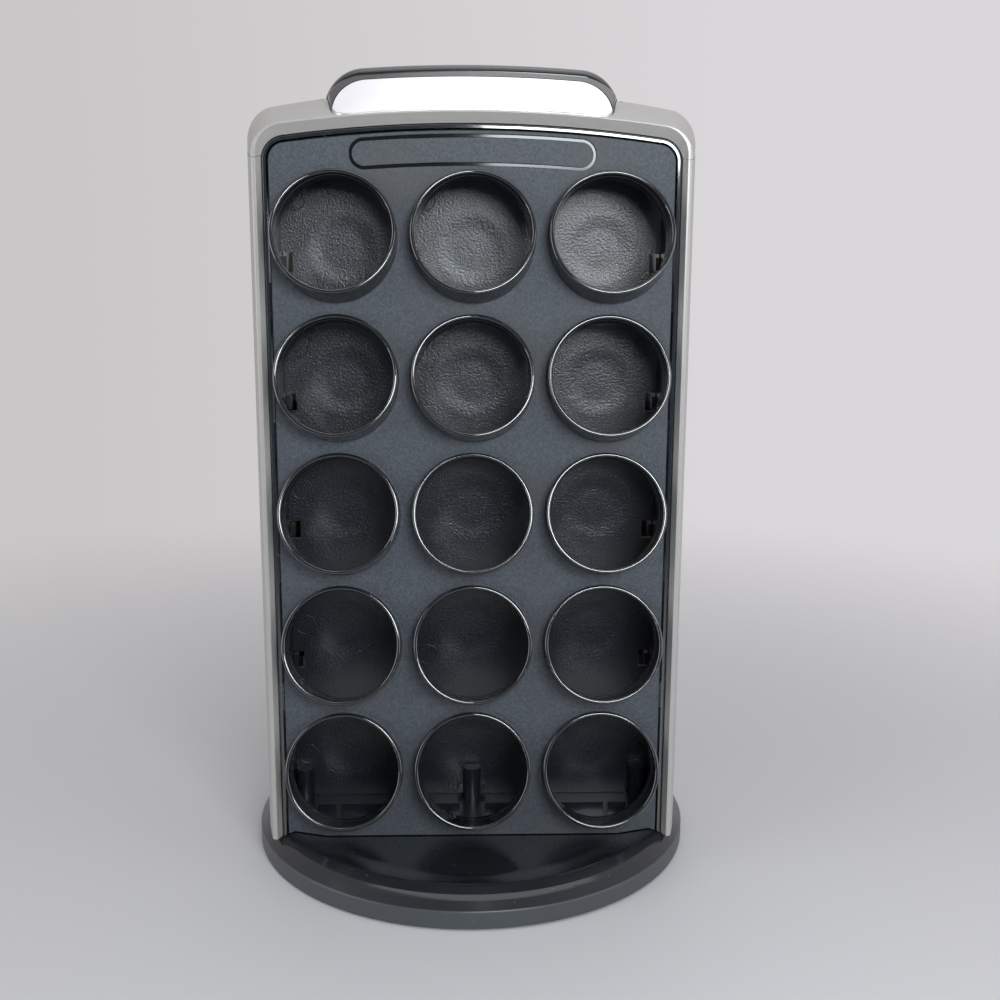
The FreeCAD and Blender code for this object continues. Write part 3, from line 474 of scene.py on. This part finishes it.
silver_lacquer, tree, shader, place = new_material("silver_lacquer_on_abs")
apart = add(tree, "ShaderNodeSeparateXYZ", {"Vector": place})
sideways = add(tree, "ShaderNodeMath", {0: (apart, "X")}, operation="ABSOLUTE")
above = add(tree, "ShaderNodeMath",
            {0: (apart, "Z"), 1: shoulder_height}, operation="GREATER_THAN")
beyond = add(tree, "ShaderNodeMath",
             {0: (sideways, "Value"), 1: hook_side}, operation="GREATER_THAN")
sprayed = add(tree, "ShaderNodeMath",
              {0: (above, "Value"), 1: (beyond, "Value")}, operation="MAXIMUM")
colour = add(tree, "ShaderNodeMix",
             {"Factor": (sprayed, "Value"), "A": moulded_black, "B": lacquer_silver},
             data_type="RGBA")
metal = add(tree, "ShaderNodeMath",
            {0: (sprayed, "Value"), 1: metal_share}, operation="MULTIPLY")
flakes = add(tree, "ShaderNodeTexVoronoi", {"Vector": place, "Scale": per(flake_size)})
shimmer = add(tree, "ShaderNodeMapRange",
              {"Value": (flakes, "Color"), "To Min": 0.36, "To Max": 0.44})
plug(tree, shader, {
    "Base Color": (colour, "Result"),
    "Metallic": (metal, "Value"),
    "Roughness": (shimmer, "Result"),
})
print(silver_lacquer.name, "has flakes of", flake_size, "mm")

# %% [markdown]
# ## Handle
#
# The plates on the handle are bright metallised foil, a little wavy, and the spine and the wedges
# are glossy dark ABS with the haze that fingers leave. Both could be one plain colour, but an
# even gloss looks like a drawing, so noise of a real size bends the one and dulls the other.

# %% Bright plate
wave_size = 18.0
wave_height = 0.15 * mm

bright_plate, tree, shader, place = new_material("bright_silver_foil")
waves = add(tree, "ShaderNodeTexNoise", {"Vector": place, "Scale": per(wave_size), "Detail": 1.0})
bump = add(tree, "ShaderNodeBump",
           {"Height": (waves, "Fac"), "Distance": wave_height, "Strength": 0.6})
plug(tree, shader, {
    "Base Color": linear("e4e6ea"),
    "Metallic": 1.0,
    "Roughness": 0.31,
    "Normal": (bump, "Normal"),
})
print(bright_plate.name, "has waves of", wave_size, "mm")

# %% Glossy dark plastic
finger_haze = 9.0

gloss_abs, tree, shader, place = new_material("gloss_dark_abs")
haze = add(tree, "ShaderNodeTexNoise", {"Vector": place, "Scale": per(finger_haze), "Detail": 4.0})
wear = add(tree, "ShaderNodeMapRange", {"Value": (haze, "Fac"), "To Min": 0.12, "To Max": 0.26})
plug(tree, shader, {"Base Color": linear("26282a"), "Roughness": (wear, "Result")})
print(gloss_abs.name, "has haze of", finger_haze, "mm")

# %% [markdown]
# ## Base
#
# The base is black ABS. Inside its crest the top was polished: it mirrors the lowest collars, and
# it holds a few specks of dust. The shoulder outside is satin, and the upright rim is textured.
# The rim's lighter grey is partly that texture and partly painted light, for the front light that
# the upright rim faces. Separate parts would do the same, but there is no seam, so one finish
# changes with the distance from the axis.

# %% Rings of the base
polished_within = 86 * mm
satin_from = 92 * mm
shoulder_edge = 100.6 * mm
rim_face = 101.1 * mm

base_abs, tree, shader, place = new_material("satin_abs_with_dust")
in_plan = add(tree, "ShaderNodeVectorMath", {0: place, 1: (1.0, 1.0, 0.0)}, operation="MULTIPLY")
radius = add(tree, "ShaderNodeVectorMath", {0: (in_plan, "Vector")}, operation="LENGTH")
top = add(tree, "ShaderNodeMapRange",
          {"Value": (radius, "Value"), "From Min": satin_from, "From Max": polished_within})
rim = add(tree, "ShaderNodeMapRange",
          {"Value": (radius, "Value"), "From Min": shoulder_edge, "From Max": rim_face})

# %% Dust, haze and colour of the base
tool_haze = 28.0
mote_spacing = 4.5
mote_share = 0.045
rim_roughness = 0.42
top_black = linear("1f2226")
# The rim's lighter grey is partly its texture and partly painted light from the front.
lit_rim_grey = linear("43474c")
dust_grey = linear("8d9095")

motes = add(tree, "ShaderNodeTexVoronoi", {"Vector": place, "Scale": per(mote_spacing)})
mote = add(tree, "ShaderNodeMath",
           {0: (motes, "Distance"), 1: mote_share}, operation="LESS_THAN")
skin = add(tree, "ShaderNodeMix",
           {"Factor": (rim, "Result"), "A": top_black, "B": lit_rim_grey},
           data_type="RGBA")
dusted = add(tree, "ShaderNodeMix",
             {"Factor": (mote, "Value"), "A": (skin, "Result"), "B": dust_grey},
             data_type="RGBA")
haze = add(tree, "ShaderNodeTexNoise", {"Vector": place, "Scale": per(tool_haze), "Detail": 5.0})
wear = add(tree, "ShaderNodeMapRange", {"Value": (haze, "Fac"), "To Min": 0.1, "To Max": 0.2})
satin = add(tree, "ShaderNodeMix",
            {"Factor": (rim, "Result"), "A": (wear, "Result"), "B": rim_roughness})
plug(tree, shader, {
    "Base Color": (dusted, "Result"),
    "Roughness": (satin, "Result"),
    "Coat Weight": (top, "Result"),
    "Coat Roughness": 0.08,
    "Coat IOR": 1.7,
})
print(base_abs.name, "has specks of", round(2 * mote_share * mote_spacing, 1), "mm")

# %% [markdown]
# ## What is hidden inside
#
# The bearing, the screws and the feet hardly show, yet each has its own finish, as anyone sees
# who turns the carousel over. They are plain plastics, rubber and metals, so one loop makes them,
# each with a fine mottle in its roughness.

# %% Hidden plastics and metals
mottle_size = 2.0
unevenness = 0.06
plain_finishes = {
    "black_rubber": ("1c1c1d", 0.0, 0.8),
    "zinc_plated_steel": ("b9bcc0", 1.0, 0.35),
    "bearing_steel": ("c9ccd0", 1.0, 0.18),
    "natural_acetal": ("e6e4dc", 0.0, 0.4),
    "black_polypropylene": ("26282a", 0.0, 0.6),
}

plain = {}
for name, (code, metal, rough) in plain_finishes.items():
    plain[name], tree, shader, place = new_material(name)
    mottle = add(tree, "ShaderNodeTexNoise",
                 {"Vector": place, "Scale": per(mottle_size), "Detail": 3.0})
    wear = add(tree, "ShaderNodeMapRange",
               {"Value": (mottle, "Fac"),
                "To Min": rough - unevenness, "To Max": rough + unevenness})
    plug(tree, shader, {
        "Base Color": linear(code),
        "Metallic": metal,
        "Roughness": (wear, "Result"),
    })
print(len(plain), "plain finishes")

# %% [markdown]
# ## Ejector marks
#
# Pins push the core out of its tool, and plastic creeps round each pin and leaves a fine raised
# ring. They could be drawn as a bump, but they are real ridges that catch the light on one side,
# so each is a small round wire, spun about the pin's axis and half sunk in the partition.

# %% Places of the ejector pins
side_columns = (-78.4, 78.4)
side_heights = (36.5, 101.5, 166.5, 231.5, 296.5)
middle_column = -21.0
middle_heights = (86.5, 156.5, 226.5, 296.5)
partition_face = 1.7

pins = [(x, z) for x in side_columns for z in side_heights]
pins += [(middle_column, z) for z in middle_heights]
marks_at = [Vector((x, y, z)) * mm for x, z in pins for y in (-partition_face, partition_face)]
print(len(marks_at), "ejector pins")

# %% Rings round the pins
mark_radius = 4.6 * mm
mark_line = 0.22 * mm
pin_axis = (0, 1, 0)

form = bmesh.new()
for middle in marks_at:
    start = Matrix.Translation(middle + Vector((mark_radius, 0, 0)))
    wire = bmesh.ops.create_circle(form, segments=8, radius=mark_line, matrix=start)["verts"]
    edges = dict.fromkeys(edge for vert in wire for edge in vert.link_edges)
    bmesh.ops.spin(form, geom=wire + list(edges), cent=middle, axis=pin_axis,
                   angle=math.tau, steps=48, use_merge=True)
bmesh.ops.recalc_face_normals(form, faces=form.faces)
sheet = bpy.data.meshes.new("ejector_marks")
form.to_mesh(sheet)
form.free()
for face in sheet.polygons:
    face.use_smooth = True
sheet.materials.append(core_abs)
marks = bpy.data.objects.new("ejector_marks", sheet)
scene.collection.objects.link(marks)
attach(marks, "tower")
print(len(sheet.polygons), "faces in the ejector marks")

# %% [markdown]
# ## Finishes for every node
#
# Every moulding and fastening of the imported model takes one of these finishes, the hidden ones
# too. Each row of the list is a finish and what wears it.

# %% Every node gets its finish
worn_by = [
    (base_abs, ["base_disc"]),
    (panel_abs, ["front_panel", "rear_panel"]),
    (core_abs, ["core_frame", "tower_floor"]),
    (silver_lacquer, ["left_side_shell", "right_side_shell", "top_cap"]),
    (gloss_abs, ["handle_spine", "front_handle_bezel", "rear_handle_bezel"]),
    (bright_plate, ["front_handle_plate", "rear_handle_plate"]),
    (plain["black_polypropylene"], ["base_underplate"]),
    (plain["black_rubber"], ["foot_pads"]),
    (plain["natural_acetal"], ["ball_cage", "hub_bush", "retaining_washer"]),
    (plain["bearing_steel"], ["lower_race", "upper_race", "bearing_balls", "retaining_ring"]),
    (plain["zinc_plated_steel"], ["underplate_screws", "floor_screws", "cap_screws",
                                  "spine_screws", "bezel_screws"]),
]
dressed = 0
for finish, names in worn_by:
    for name in names:
        slots = nodes[name].data.materials
        slots.clear()
        slots.append(finish)
        dressed += 1
print(dressed, "nodes have a finish")

# %% [markdown]
# ## View
#
# The plain view transform shows colours as they are written.

# %% View settings
scene.view_settings.view_transform = "Standard"
